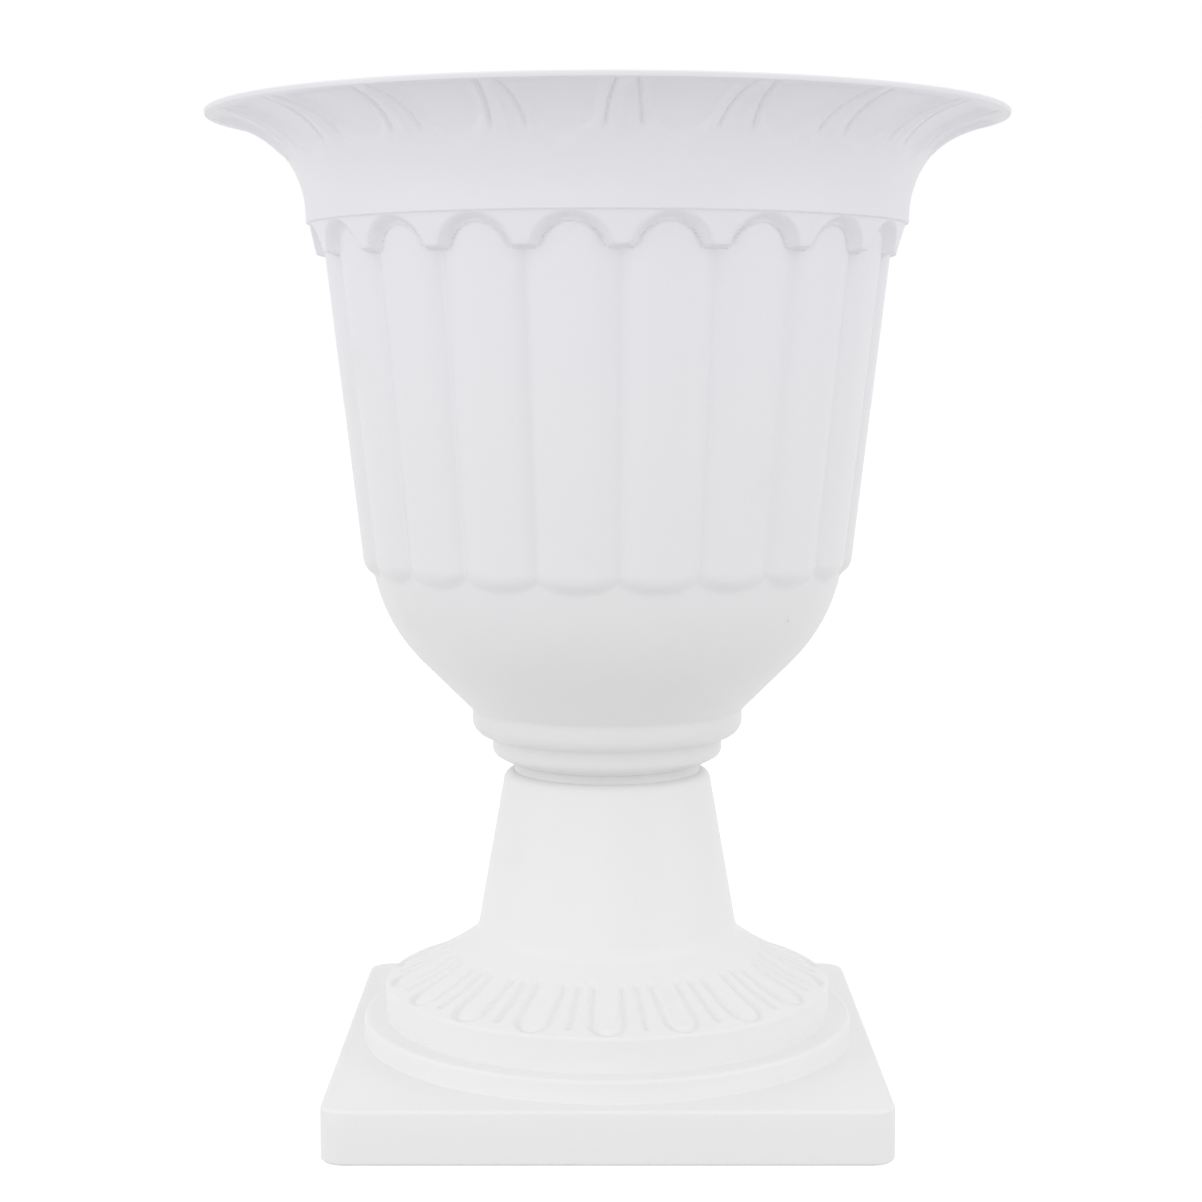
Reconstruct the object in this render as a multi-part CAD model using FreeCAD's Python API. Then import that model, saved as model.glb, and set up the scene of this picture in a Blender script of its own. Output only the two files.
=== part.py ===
"""Two-piece urn planter: a reeded bowl with a flared rim, standing loosely on a waisted pedestal.

Frame: millimetres, +Z up, origin at the centre of the plinth's underside, front face towards -Y.
All heights are above the floor unless a name says otherwise. A profile is drawn in the plane of
radius and height, then turned about the Z axis.
"""
import FreeCAD, Part
import math
import os

# ---- pedestal ---------------------------------------------------------------------------------
plinth_side = 170.0            # width and depth of the square plinth
plinth_height = 16.5
plinth_corner = 7.5            # radius of its upright corners
plinth_edge = 1.2              # rounding of its top edge
plinth_ledge = 6.0             # from the plinth's side to the round step on it
lower_step_height = 7.2
step_ledge = 7.1               # from the first round step to the second, which ends in the skirt
upper_step_height = 11.0
step_edge = 1.4                # rounding of the two steps' top edges
skirt_rise = 15.0              # concave skirt between the upper step and the column
skirt_hollow = 105.0           # radius of the skirt's concave curve
column_head_radius = 33.5
column_spread = 7.9            # how much wider the column's foot is than its head
cove_reach = 2.0               # small cove between skirt and column: width, height and hollow
cove_height = 5.0
cove_hollow = 0.5
pedestal_height = 103.2
column_edge = 3.5              # rounding of the column's top edge
pedestal_wall = 2.0
rib_thickness = 1.6            # stiffening ribs of both mouldings
socket_depth = 20.0            # blind tube under the column's top that takes the bowl's spigot
socket_wall = 1.8
web_drop = 18.0                # height of the webs that hold the tube
web_count = 4

# ---- bowl -------------------------------------------------------------------------------------
foot_radius = 36.9             # round foot above the seat
foot_height = 11.6             # from the pedestal to the ring, the seat included
seat_height = 2.0              # rise from the pedestal to the lowest part of the foot's underside
seat_radius = 30.0             # ring under the foot, which stands on the pedestal
seat_taper = 1.5               # how much it narrows upwards
foot_sweep = (20.0, 32.0)      # the foot's shallow underside: radius, and slope where it ends
foot_round = 2.9               # tighter rounding from there to the foot's side
ring_overhang = 6.5            # ring moulding above the foot
ring_height = 7.8
ring_round = 5.2
cup_angle = 45.0               # slope of the cup's lower part
cup_cone_reach = 14.8          # radial length of that straight part
cup_bend = 55.0                # radius of the bend into the reeded body
ring_to_cup = 1.3              # step out from the ring to the cup's start
ring_to_cup_rise = 2.0
body_taper = 6.52              # degrees from upright
body_height = 95.5             # straight part, from the cup's bend to the collar
reed_count = 20
reed_phase = -6.6              # degrees from the front, towards +X
reed_proud = 2.8               # height of a reed's crown above the grooves
reed_share = 0.282             # a reed's radius as a share of the body's radius there
reed_bottom_lift = 1.4         # height of a reed's round end above the cup's bend
reed_end_squash = 2.0          # how many times lower than a ball that end is
reed_top_drop = 2.8            # how far a reed ends below the collar's top, behind the collar
collar_height = 9.5            # scalloped collar under the flare
collar_out_low = 2.6           # how far the collar stands out from the reeds' crowns, at its tips
collar_out_high = 4.7
arch_inner_radius = 9.5        # scallop where it meets the reed
arch_outer_radius = 12.7       # scallop at the collar's face
arch_depth = 4.5               # depth over which a scallop closes in
arch_overrun = 3.0             # length by which its cutter passes the collar's faces
collar_undercut = 1.0          # how far the collar's top face runs in under the flare
flare_neck = 2.2               # upright part between collar and flare
flare_bends = ((30.0, 90.0, 52.0), (27.6, 52.0, 22.0), (54.0, 22.0, 8.0))  # radius, slope from, to
bowl_wall = 1.6
lip_round = 0.4                # how far the lip's end bulges
floor_thickness = 4.0
spigot_radius = 11.5           # tube under the floor, which drops into the pedestal's socket
spigot_clearance = 1.0         # loose on purpose: the bowl lifts off
spigot_wall = 2.2
spigot_depth = 15.0
drain_radius = 6.0             # hole in the bowl's floor, over the spigot
foot_rib_count = 6
overlap = 0.5                  # length by which a rib runs into the tube it meets
past = 1.0                     # length by which a cutter passes the face it opens

# ---- drain plug -------------------------------------------------------------------------------
plug_clearance = 0.05
plug_head_radius = 9.0
plug_head_height = 1.8
plug_stem_length = 9.0
plug_bore_radius = 3.6
plug_grip_height = 5.0
plug_grip_thickness = 2.0
plug_edge = 0.6                # bevels of the plug
plug_head_hollow = 0.4

# ---- places worked out from the sizes ---------------------------------------------------------
lower_step_radius = plinth_side / 2 - plinth_ledge
upper_step_radius = lower_step_radius - step_ledge
column_foot_radius = column_head_radius + column_spread
skirt_top_radius = column_foot_radius + cove_reach
lower_step_top = plinth_height + lower_step_height
upper_step_top = lower_step_top + upper_step_height
skirt_top = upper_step_top + skirt_rise
column_foot_z = skirt_top + cove_height
corner_slope = math.sqrt(0.5)  # sine of half a right angle
tolerance = 1e-3
ring_radius = foot_radius + ring_overhang
sweep_share = math.sin(math.radians(foot_sweep[1]))
sweep_start = foot_radius - foot_sweep[0] * sweep_share - foot_round * (1 - sweep_share)
seat_top = pedestal_height + seat_height
upright = 90.0
body_slope = upright - body_taper
socket_radius = spigot_radius + spigot_clearance
foot_top = pedestal_height + foot_height
ring_top = foot_top + ring_height
cup_start = (ring_radius + ring_to_cup, ring_top + ring_to_cup_rise)
floor_z = ring_top + floor_thickness


def point(r, z):
    """A point of a profile: radius r, height z."""
    return FreeCAD.Vector(r, 0, z)


def bend(start, radius, slope_from, slope_to):
    """Middle and end of a tangent arc; slopes in degrees above the outward horizontal."""
    turn = 1.0 if slope_to > slope_from else -1.0

    def at(slope):
        a, b = math.radians(slope_from), math.radians(slope)
        return (start[0] + turn * radius * (math.sin(b) - math.sin(a)),
                start[1] + turn * radius * (math.cos(a) - math.cos(b)))
    return at((slope_from + slope_to) / 2), at(slope_to)


def turned(start, steps):
    """Solid of revolution. A step is (r, z), or (middle, end) for an arc; the profile closes itself."""
    edges, here = [], start
    for step in steps:
        if isinstance(step[0], tuple):
            middle, end = step
            edges.append(Part.Arc(point(*here), point(*middle), point(*end)).toShape())
        else:
            end = step
            edges.append(Part.makeLine(point(*here), point(*end)))
        here = end
    if math.dist(here, start) > tolerance:
        edges.append(Part.makeLine(point(*here), point(*start)))
    face = Part.Face(Part.Wire(edges))
    return face.revolve(FreeCAD.Vector(0, 0, 0), FreeCAD.Vector(0, 0, 1), 360)


def around(shape, count, phase=0.0):
    """Copies of a shape spaced evenly about the Z axis."""
    copies = []
    for i in range(count):
        copy = shape.copy()
        copy.rotate(FreeCAD.Vector(0, 0, 0), FreeCAD.Vector(0, 0, 1), phase + 360.0 * i / count)
        copies.append(copy)
    return copies


def outside_corner(r, z, radius):
    """Middle and end of a rounded upper edge that starts at (r, z), going inwards."""
    k = radius * corner_slope
    return (r - radius + k, z + k), (r - radius, z + radius)


def ring_rib(r_inner, r_outer, z_low, z_high):
    """Upright radial rib towards the front."""
    return Part.makeBox(rib_thickness, r_outer - r_inner, z_high - z_low,
                        FreeCAD.Vector(-rib_thickness / 2, -r_outer, z_low))


# ---- pedestal ---------------------------------------------------------------------------------
def rounded_square(side, corner, z, height):
    """Square block with round upright corners."""
    block = Part.makeBox(side, side, height, FreeCAD.Vector(-side / 2, -side / 2, z))
    posts = [e for e in block.Edges if e.BoundBox.ZLength > height - tolerance]
    return block.makeFillet(corner, posts)


def plinth(inset, edge):
    """The plinth's outer form, or with an inset its hollow."""
    side = plinth_side - 2 * inset
    block = rounded_square(side, plinth_corner - inset, 0, plinth_height - inset)
    if edge:
        top = [e for e in block.Edges if e.BoundBox.ZMin > block.BoundBox.ZMax - tolerance]
        block = block.makeFillet(edge, top)
    return block


def skirt_line(inset):
    """Arc of the skirt from its foot to its top, drawn inwards: its start, then (middle, end)."""
    foot = (upper_step_radius - step_edge - inset, upper_step_top - inset)
    top = (skirt_top_radius - inset, skirt_top - inset)
    chord = math.dist(foot, top)
    sag = skirt_hollow - math.sqrt(skirt_hollow ** 2 - (chord / 2) ** 2)
    across = ((foot[1] - top[1]) / chord, (top[0] - foot[0]) / chord)
    middle = ((foot[0] + top[0]) / 2 + across[0] * sag, (foot[1] + top[1]) / 2 + across[1] * sag)
    return foot, (middle, top)


def cove(inset):
    """Small concave arc from the skirt's top to the column's foot."""
    start = (skirt_top_radius - inset, skirt_top - inset)
    end = (column_foot_radius - inset, column_foot_z)
    return ((start[0] + end[0]) / 2 - cove_hollow, (start[1] + end[1]) / 2 - cove_hollow), end


def pedestal_outside():
    """Steps, skirt and column as one turned form standing on the plinth."""
    foot, skirt = skirt_line(0)
    upper_edge = outside_corner(upper_step_radius, upper_step_top - step_edge, step_edge)
    head = (column_head_radius, pedestal_height - column_edge)
    return turned((0, plinth_height - pedestal_wall), [
        (lower_step_radius, plinth_height - pedestal_wall),
        (lower_step_radius, lower_step_top - step_edge),
        outside_corner(lower_step_radius, lower_step_top - step_edge, step_edge),
        (upper_step_radius, lower_step_top),
        (upper_step_radius, upper_step_top - step_edge),
        upper_edge,
        skirt,
        cove(0),
        head,
        outside_corner(head[0], head[1], column_edge),
        (0, pedestal_height)])


def pedestal_hollow():
    """The open inside of the turned part, one wall in from the outside."""
    w = pedestal_wall
    foot, skirt = skirt_line(w)
    return turned((0, -past), [
        (upper_step_radius - w, -past),
        (upper_step_radius - w, foot[1] - step_edge),
        foot,
        skirt,
        cove(w),
        (column_head_radius - w, pedestal_height - w - column_edge),
        outside_corner(column_head_radius - w, pedestal_height - w - column_edge, column_edge),
        (0, pedestal_height - w)])


def pedestal():
    """Thin-walled moulding, open underneath, with a socket tube in its head."""
    w = pedestal_wall
    body = plinth(0, plinth_edge).fuse(pedestal_outside())
    body = body.cut(plinth(w, 0)).cut(pedestal_hollow())
    tube_z = pedestal_height - socket_depth - socket_wall
    tube = Part.makeCylinder(socket_radius + socket_wall, pedestal_height - tube_z, point(0, tube_z))
    web = ring_rib(socket_radius + overlap, column_head_radius - w / 2,
                   pedestal_height - web_drop, pedestal_height - w / 2)
    body = body.multiFuse([tube] + around(web, web_count))
    bore = Part.makeCylinder(socket_radius, socket_depth + past, point(0, tube_z + socket_wall))
    return body.cut(bore).removeSplitter()


# ---- bowl -------------------------------------------------------------------------------------
def cup_bend_points():
    """Start of the cup's bend, then its middle and its end."""
    start = (cup_start[0] + cup_cone_reach,
             cup_start[1] + cup_cone_reach * math.tan(math.radians(cup_angle)))
    middle, end = bend(start, cup_bend, cup_angle, body_slope)
    return start, middle, end


def groove_radius(z):
    """Radius of the body between the reeds at a height."""
    low = cup_bend_points()[2]
    return low[0] + (z - low[1]) * math.tan(math.radians(body_taper))


body_low = cup_bend_points()[2][1]
collar_low = body_low + body_height
collar_top = collar_low + collar_height
crown_high = groove_radius(collar_low) + reed_proud
neck_radius = crown_high + collar_out_high + collar_undercut
flare_start = (neck_radius, collar_top + flare_neck)


def flare_steps(thickness):
    """Tangent arcs of the flare, as its outer face or, with a thickness, its inner face."""
    here, steps = (flare_start[0] - thickness, flare_start[1]), []
    for radius, slope_from, slope_to in flare_bends:
        middle, end = bend(here, radius + thickness, slope_from, slope_to)
        steps.append((middle, end))
        here = end
    return steps


def foot_steps(thickness):
    """The foot's underside up to its side, or with a thickness its inner face."""
    low = (sweep_start, seat_top + thickness)
    middle, knee = bend(low, foot_sweep[0] - thickness, 0.0, foot_sweep[1])
    return [low, (middle, knee), bend(knee, foot_round - thickness, foot_sweep[1], upright)]


def seat():
    """Ring under the foot that meets the pedestal."""
    w, top = bowl_wall, seat_top + bowl_wall / 2
    return turned((seat_radius - seat_taper - w, pedestal_height), [
        (seat_radius, pedestal_height),
        (seat_radius - seat_taper, top),
        (seat_radius - seat_taper - w, top)])


def bowl_outside():
    """Foot, ring, cup, body between the reeds and the flare, as one solid form."""
    ring_k = ring_round * corner_slope
    start, middle, end = cup_bend_points()
    lip = flare_steps(0)[-1][1]
    lip_in = flare_steps(bowl_wall)[-1][1]
    return turned((0, seat_top), foot_steps(0) + [
        (foot_radius, foot_top),
        (ring_radius - ring_round, foot_top),
        ((ring_radius - ring_round + ring_k, foot_top + ring_round - ring_k),
         (ring_radius, foot_top + ring_round)),
        (ring_radius, ring_top),
        cup_start,
        start,
        (middle, end),
        (groove_radius(collar_low), collar_low),
        (neck_radius - collar_undercut, collar_top),
        flare_start
        ] + flare_steps(0) + [
        ((lip[0] + lip_round, (lip[1] + lip_in[1]) / 2), lip_in),
        (0, lip_in[1])])


def reed():
    """One tapered convex reed towards the front, with its round lower end."""
    low_z = body_low + reed_bottom_lift
    high_z = collar_top - reed_top_drop
    low_crown = groove_radius(low_z) + reed_proud
    high_crown = groove_radius(high_z) + reed_proud
    low = FreeCAD.Vector(0, -low_crown * (1 - reed_share), low_z)
    high = FreeCAD.Vector(0, -high_crown * (1 - reed_share), high_z)
    ends = [Part.Wire([Part.makeCircle(crown * reed_share, middle)])
            for crown, middle in ((low_crown, low), (high_crown, high))]
    squash = FreeCAD.Matrix()
    squash.scale(1, 1, 1 / reed_end_squash)
    tip = Part.makeSphere(low_crown * reed_share).transformGeometry(squash)
    tip.translate(low)
    return Part.makeLoft(ends, True, True).fuse(tip)


def collar():
    """Plain ring under the flare, before its scallops are cut."""
    root = groove_radius(collar_low) - bowl_wall / 2
    return turned((root, collar_low), [
        (crown_high + collar_out_low, collar_low),
        (crown_high + collar_out_high, collar_top),
        (neck_radius, collar_top),
        (neck_radius - bowl_wall, collar_top + bowl_wall),
        (root, collar_low + bowl_wall)])


def arch_cutter():
    """Bevelled round cutter for one scallop, pointing to the front."""
    slope = (arch_outer_radius - arch_inner_radius) / arch_depth
    inner, outer = crown_high - arch_overrun, crown_high + collar_out_high + arch_overrun
    return Part.makeCone(arch_inner_radius - slope * arch_overrun,
                         arch_outer_radius + slope * (outer - crown_high - arch_depth),
                         outer - inner, FreeCAD.Vector(0, -inner, collar_top - arch_outer_radius),
                         FreeCAD.Vector(0, -1, 0))


def bowl_hollow():
    """Space for the soil, one wall in from the grooves, out through the mouth."""
    w, tilt = bowl_wall, math.radians(cup_angle)
    start = cup_bend_points()[0]
    knee = (start[0] - w * math.sin(tilt), start[1] + w * math.cos(tilt))
    floor_r = knee[0] - (knee[1] - floor_z) / math.tan(tilt)
    mouth = flare_steps(w)[-1][1]
    return turned((0, floor_z), [
        (floor_r, floor_z),
        knee,
        bend(knee, cup_bend - w, cup_angle, body_slope),
        (groove_radius(collar_low) - w, collar_low),
        (flare_start[0] - w, flare_start[1])
        ] + flare_steps(w) + [
        (mouth[0], mouth[1] + past),
        (0, mouth[1] + past)])


def foot_hollow():
    """Space under the floor, inside the foot and the ring."""
    w = bowl_wall
    mouth = seat_radius - seat_taper - w
    return turned((0, pedestal_height - past), [
        (mouth, pedestal_height - past),
        (mouth, seat_top + w)
        ] + foot_steps(w)[1:] + [
        (foot_radius - w, foot_top + w),
        (ring_radius - w, foot_top + ring_round + w / 2),
        (ring_radius - w, ring_top),
        (0, ring_top)])


def bowl():
    """Thin-walled moulding with a spigot under its floor."""
    skin = bowl_outside().multiFuse([seat()] + around(reed(), reed_count, reed_phase))
    scallops = collar().cut(around(arch_cutter(), reed_count, reed_phase))
    skin = skin.fuse(scallops)
    skin = skin.cut(bowl_hollow()).cut(foot_hollow())
    spigot_low = pedestal_height - spigot_depth
    spigot = Part.makeCylinder(spigot_radius, ring_top + past - spigot_low, point(0, spigot_low))
    bore = Part.makeCylinder(spigot_radius - spigot_wall, ring_top - spigot_low + past,
                             point(0, spigot_low - past))
    rib = ring_rib(spigot_radius - overlap, foot_radius - bowl_wall / 2,
                   foot_top - rib_thickness, ring_top + past)
    skin = skin.multiFuse([spigot] + around(rib, foot_rib_count))
    drain = Part.makeCylinder(drain_radius, floor_thickness + 2 * past, point(0, ring_top - past))
    return skin.cut([bore, drain]).removeSplitter()


# ---- drain plug -------------------------------------------------------------------------------
def drain_plug():
    """Push-in stopper lying on the bowl's floor, with a finger grip."""
    stem, head_top = drain_radius - plug_clearance, floor_z + plug_head_height
    body = turned((plug_bore_radius, floor_z - plug_stem_length), [
        (stem - plug_edge, floor_z - plug_stem_length),
        (stem, floor_z - plug_stem_length + 2 * plug_edge),
        (stem, floor_z),
        (plug_head_radius, floor_z),
        (plug_head_radius, head_top - plug_edge),
        (plug_head_radius - plug_edge, head_top),
        (0, head_top),
        (0, floor_z - plug_head_hollow),
        (plug_bore_radius, floor_z - plug_head_hollow)])
    grip = Part.makeBox(2 * stem, plug_grip_thickness, plug_grip_height,
                        FreeCAD.Vector(-stem, -plug_grip_thickness / 2, head_top - overlap))
    return body.fuse(grip).removeSplitter()


os.makedirs("parts", exist_ok=True)
for name, make in (("pedestal", pedestal), ("bowl", bowl), ("drain_plug", drain_plug)):
    shape = make()
    shape.exportStep("parts/%s.step" % name)
    box = shape.BoundBox
    print("%-12s solids %d valid %s volume %.0f z %.2f..%.2f x %.1f" %
          (name, len(shape.Solids), shape.isValid(), shape.Volume, box.ZMin, box.ZMax, box.XLength))
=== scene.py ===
"""Looks of a two-piece plastic urn planter: a reeded bowl with a flared rim on a waisted pedestal.

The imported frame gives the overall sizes; the profiles below are drawn inside them. Lengths are in
metres, with MM for sizes that are read more easily in millimetres. A profile is a list of rows
(radius, height), turned about the Z axis; the front faces -Y.
"""
import math

import bpy
from bpy.props import FloatProperty, FloatVectorProperty, IntProperty, PointerProperty
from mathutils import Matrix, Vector


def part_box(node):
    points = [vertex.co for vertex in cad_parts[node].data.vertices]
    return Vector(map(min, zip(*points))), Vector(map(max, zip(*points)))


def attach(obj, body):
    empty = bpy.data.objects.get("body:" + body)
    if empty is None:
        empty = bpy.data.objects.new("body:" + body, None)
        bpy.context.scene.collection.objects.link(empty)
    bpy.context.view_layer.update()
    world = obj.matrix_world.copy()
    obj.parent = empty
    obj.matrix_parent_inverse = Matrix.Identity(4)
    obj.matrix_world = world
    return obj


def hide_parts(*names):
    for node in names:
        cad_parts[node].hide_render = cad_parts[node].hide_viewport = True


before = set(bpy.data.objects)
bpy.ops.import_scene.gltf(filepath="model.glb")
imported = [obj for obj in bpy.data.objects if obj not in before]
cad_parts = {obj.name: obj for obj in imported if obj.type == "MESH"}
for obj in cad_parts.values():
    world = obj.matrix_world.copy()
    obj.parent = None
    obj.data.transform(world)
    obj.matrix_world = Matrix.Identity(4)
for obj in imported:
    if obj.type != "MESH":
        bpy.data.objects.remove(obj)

bl_info = {
    "name": "Urn Planter",
    "version": (1, 0, 0),
    "blender": (4, 5, 0),
    "location": "3D View > Sidebar > Urn",
    "description": "Builds the finish of a reeded urn planter and its pedestal over its CAD frame",
    "category": "Add Mesh",
}

MM = 0.001
PHOTO_SIDE = 1202              # pixels on each side of the photograph

PEDESTAL_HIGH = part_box("pedestal")[1]
BOWL_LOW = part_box("bowl")[0]
PLINTH_HALF = PEDESTAL_HIGH[0]
SEAT = PEDESTAL_HIGH[2]        # the bowl's foot stands at this height
SPIGOT_LOW = BOWL_LOW[2]
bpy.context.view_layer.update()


# ---- sizes and colours a user would change -----------------------------------------------------
def length(label, words, value, low=0.0):
    """A length property, with its default given in millimetres."""
    return FloatProperty(name=label, description=words, default=value * MM, min=low, unit="LENGTH")


def tint(label, words, value):
    """A colour property."""
    return FloatVectorProperty(name=label, description=words, default=value, subtype="COLOR",
                               size=3, min=0.0, max=1.0)


class UrnBowlSettings(bpy.types.PropertyGroup):
    """Sizes and colour of the bowl."""
    reeds: IntProperty(name="Reeds", description="Convex reeds, arches and eggs round the bowl",
                       default=20, min=8)
    turn: FloatProperty(name="Turn", description="Turn of the pattern from the front, towards +X",
                        default=math.radians(-6.6), subtype="ANGLE")
    reed_proud: length("Reed height", "Height of a reed's crown above the grooves", 2.8)
    arch_inner: length("Arch inner radius", "Radius of each scallop where it meets the reed", 9.6)
    arch_outer: length("Arch outer radius", "Radius of each scallop at the collar's face", 12.7)
    egg_depth: length("Egg depth", "Depth of the rounded hollows under the flare", 1.5)
    dart_depth: length("Dart line depth", "Depth of the lines beside each dart", 1.0)
    # The rim colour is lighter than the low colour, and a little bluer: painted light on the upper bowl
    # and painted shade on the lower bowl.
    colour: tint("Bowl colour", "Colour of the bowl's plastic, near the rim", (0.852, 0.848, 0.886))
    shaded_low_colour: tint("Bowl colour, low", "Colour of the bowl's plastic, near its foot",
                     (0.822, 0.822, 0.828))


class UrnPedestalSettings(bpy.types.PropertyGroup):
    """Sizes and colour of the pedestal."""
    leaves: IntProperty(name="Leaves", description="Round-ended tongues cut in the skirt",
                        default=18, min=6)
    line_width: length("Line width", "Width of the cut lines", 2.2)
    line_depth: length("Line depth", "Depth of the cut lines", 1.0)
    leaf_half_width: length("Leaf half width", "From a tongue's middle to its line", 4.9)
    colour: tint("Pedestal colour", "Colour of the pedestal's plastic", (0.886, 0.881, 0.885))


class UrnStageSettings(bpy.types.PropertyGroup):
    """Light and camera."""
    fill: FloatProperty(name="Fill light", description="Strength of the even light all round",
                        default=0.905, min=0.0)
    overhead: FloatProperty(name="Overhead light", description="Strength of the light above",
                            default=1.0, min=0.0)
    sides: FloatProperty(name="Side lights", description="Strength of the lights left and right",
                         default=1.0, min=0.0)
    front: FloatProperty(name="Front light", description="Strength of the low light in front",
                         default=1.0, min=0.0)


# ---- node trees written as expressions -----------------------------------------------------------
class Value:
    """A node socket that takes part in arithmetic; each operation adds a Math node to its tree."""

    def __init__(self, net, socket):
        self.net = net
        self.socket = socket

    def math(self, operation, *others):
        """A Math node on this value and the others."""
        inputs = dict(enumerate((self,) + others))
        return self.net.add("ShaderNodeMath", {"operation": operation}, inputs).out()

    def __add__(self, other):
        return self.math("ADD", other)

    __radd__ = __add__

    def __sub__(self, other):
        return self.math("SUBTRACT", other)

    def __rsub__(self, other):
        return self.net.number(other).math("SUBTRACT", self)

    def __mul__(self, other):
        return self.math("MULTIPLY", other)

    __rmul__ = __mul__

    def __truediv__(self, other):
        return self.math("DIVIDE", other)

    def __rtruediv__(self, other):
        return self.net.number(other).math("DIVIDE", self)

    def least(self, other):
        """The smaller of two values."""
        return self.math("MINIMUM", other)

    def most(self, other):
        """The larger of two values."""
        return self.math("MAXIMUM", other)

    def root(self):
        """Square root, with nothing under zero."""
        return self.most(0.0).math("SQRT")

    def squared(self):
        """The value times itself."""
        return self * self

    def size(self):
        """The value without its sign."""
        return self.math("ABSOLUTE")

    def ease(self, low, high):
        """0 below low, 1 above high, and a smooth rise between them."""
        sockets = {"Value": self, "From Min": low, "From Max": high}
        return self.net.add("ShaderNodeMapRange", {"interpolation_type": "SMOOTHSTEP"}, sockets).out()


class Placed:
    """A node, with its outputs as values."""

    def __init__(self, net, node):
        self.net = net
        self.node = node

    def out(self, key=0):
        """One output as a value."""
        return Value(self.net, self.node.outputs[key])


class Net:
    """Adds nodes to a shader tree or a geometry tree."""

    def __init__(self, tree):
        self.tree = tree

    def add(self, kind, settings=None, sockets=None):
        """A node of a kind: its settings are set first, then values or links on its sockets."""
        node = self.tree.nodes.new(kind)
        for key, value in (settings or {}).items():
            setattr(node, key, value)
        for key, value in (sockets or {}).items():
            if isinstance(value, Value):
                self.tree.links.new(value.socket, node.inputs[key])
            else:
                node.inputs[key].default_value = value
        return Placed(self, node)

    def number(self, value):
        """A number as a value."""
        if isinstance(value, Value):
            return value
        return self.add("ShaderNodeMath", {"operation": "ADD"}, {0: float(value), 1: 0.0}).out()


# ---- profiles ------------------------------------------------------------------------------------
def straight(start, end, rows):
    """Rows from start to end, without the start."""
    return [(start[0] + (end[0] - start[0]) * i / rows, start[1] + (end[1] - start[1]) * i / rows)
            for i in range(1, rows + 1)]


def curve(start, radius, slope_from, slope_to, rows):
    """Rows along a tangent arc, without the start; slopes in degrees above the outward horizontal."""
    turn = 1.0 if slope_to > slope_from else -1.0
    first = math.radians(slope_from)
    result = []
    for i in range(1, rows + 1):
        here = math.radians(slope_from + (slope_to - slope_from) * i / rows)
        result.append((start[0] + turn * radius * (math.sin(here) - math.sin(first)),
                       start[1] + turn * radius * (math.cos(first) - math.cos(here))))
    return result


def mesh_from_rows(name, rows, columns, reach=None, tags=None):
    """A closed ring-shaped mesh from a closed profile; reach(row, angle) may give another radius."""
    count = len(rows)
    points = []
    for c in range(columns):
        angle = 2 * math.pi * c / columns
        for r, (radius, height) in enumerate(rows):
            across = reach(r, angle) if reach else radius
            points.append((across * math.sin(angle), -across * math.cos(angle), height))
    faces = []
    for c in range(columns):
        here, there = c * count, (c + 1) % columns * count
        for r in range(count):
            up = (r + 1) % count
            faces.append((here + r, there + r, there + up, here + up))
    mesh = bpy.data.meshes.new(name)
    mesh.from_pydata(points, [], faces)
    for label, values in (tags or {}).items():
        layer = mesh.attributes.new(label, "FLOAT", "POINT")
        layer.data.foreach_set("value", list(values) * columns)
    mesh.update()
    return mesh


def link_object(name, mesh):
    """A new object in the scene's collection, at the origin."""
    piece = bpy.data.objects.new(name, mesh)
    bpy.context.scene.collection.objects.link(piece)
    return piece


def geometry_tree(name, sizes):
    """An empty geometry tree with named inputs for its sizes: its net, and its inputs as values."""
    tree = bpy.data.node_groups.new(name, "GeometryNodeTree")
    face = tree.interface
    face.new_socket("Geometry", in_out="INPUT", socket_type="NodeSocketGeometry")
    for label, value in sizes.items():
        kind = "NodeSocketInt" if isinstance(value, int) else "NodeSocketFloat"
        face.new_socket(label, in_out="INPUT", socket_type=kind)
    face.new_socket("Material", in_out="INPUT", socket_type="NodeSocketMaterial")
    face.new_socket("Geometry", in_out="OUTPUT", socket_type="NodeSocketGeometry")
    net = Net(tree)
    source = net.add("NodeGroupInput")
    values = {socket.name: Value(net, socket) for socket in source.node.outputs if socket.name}
    return net, values


def close_tree(net, geometry, material):
    """Ends a geometry tree in Realize Instances and Set Material."""
    real = net.add("GeometryNodeRealizeInstances", {}, {0: geometry}).out()
    painted = net.add("GeometryNodeSetMaterial", {}, {0: real, "Material": material}).out()
    net.add("NodeGroupOutput", {}, {0: painted})


def run_tree(piece, net, sizes, material, crease=38.0):
    """Runs a tree on a piece and leaves a plain, smooth mesh whose sharp edges stay crisp."""
    modifier = piece.modifiers.new("Shape", "NODES")
    modifier.node_group = net.tree
    values = dict(sizes, Material=material)
    for item in net.tree.interface.items_tree:
        if item.item_type == "SOCKET" and item.in_out == "INPUT" and item.name in values:
            modifier[item.identifier] = values[item.name]
    view = bpy.context.evaluated_depsgraph_get()
    view.update()
    mesh = bpy.data.meshes.new_from_object(piece.evaluated_get(view))
    piece.modifiers.remove(modifier)
    piece.data = mesh
    mesh.polygons.foreach_set("use_smooth", [True] * len(mesh.polygons))
    mesh.set_sharp_from_angle(angle=math.radians(crease))
    for spare in [a.name for a in mesh.attributes if a.name in ("outside", "way")]:
        mesh.attributes.remove(mesh.attributes[spare])
    mesh.update()
    return piece


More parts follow.
